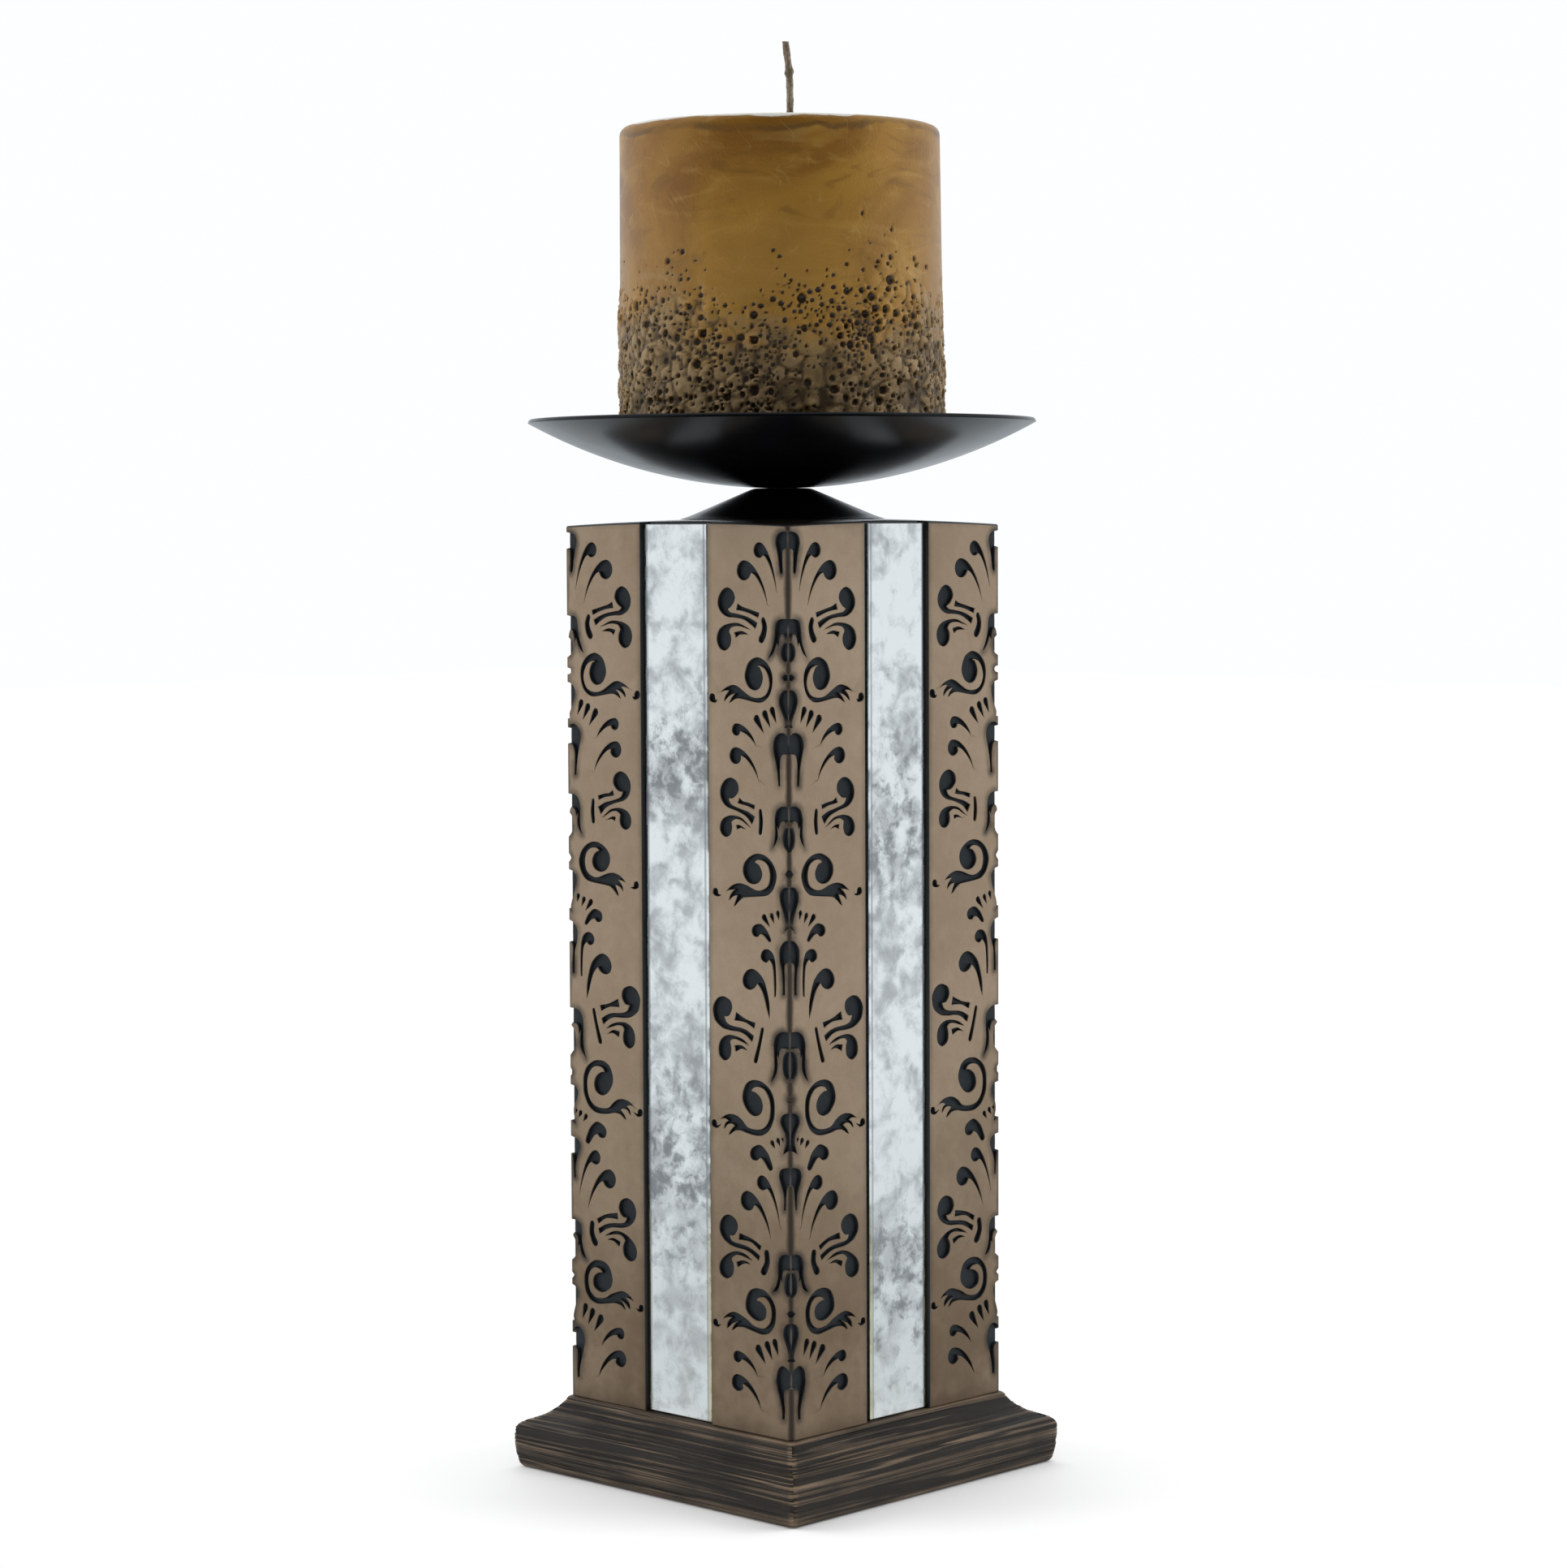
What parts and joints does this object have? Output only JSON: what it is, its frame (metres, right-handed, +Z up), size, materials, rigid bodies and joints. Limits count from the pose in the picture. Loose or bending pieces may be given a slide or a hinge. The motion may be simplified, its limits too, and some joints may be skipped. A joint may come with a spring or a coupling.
{
  "type": "candle holder",
  "caption": "Square carved pedestal candle holder with mirror strips in its faces, a moulded plinth and a shallow metal dish that carries a pillar candle.",
  "frame": {"origin": "middle of the underside, on the surface the holder stands on", "axes": "+Z up along the column; the four column faces are square to X and Y"},
  "size_m": [0.1198, 0.1198, 0.3385],
  "materials": {
    "plinth_resin": "dark grained cast resin with rubbed bronze edges",
    "column_resin": "satin bronze-tan cast resin, carving filled with blue-black",
    "antique_mirror": "mottled antique silvering on thin glass",
    "foam_tape": "white foam mounting tape",
    "black_metal": "satin black",
    "zinc_steel": "zinc plated",
    "insert_brass": "turned",
    "felt": "black wool felt",
    "amber_wax": "amber wax, smooth at the top and pitted below",
    "wick_cotton": "waxed braided cotton",
    "tin_tab": "pressed tin"
  },
  "bodies": {
    "holder": {"plinth": "plinth_resin", "felt_pad": "felt", "column": "column_resin", "mirror_front": "antique_mirror", "mirror_right": "antique_mirror", "mirror_back": "antique_mirror", "mirror_left": "antique_mirror", "mirror_tape_front": "foam_tape", "mirror_tape_right": "foam_tape", "mirror_tape_back": "foam_tape", "mirror_tape_left": "foam_tape", "collar": "black_metal", "dish": "black_metal", "dish_washer": "zinc_steel", "dish_screw": "zinc_steel", "top_insert": "insert_brass", "column_screws": "zinc_steel"},
    "candle": {"candle_wax": "amber_wax", "wick": "wick_cotton", "wick_tab": "tin_tab"}
  },
  "joints": [
    {"name": "candle_lift", "type": "slide", "parent": "holder", "child": "candle", "axis": [0, 0, 1], "range_m": [0, 0.04]}
  ]
}
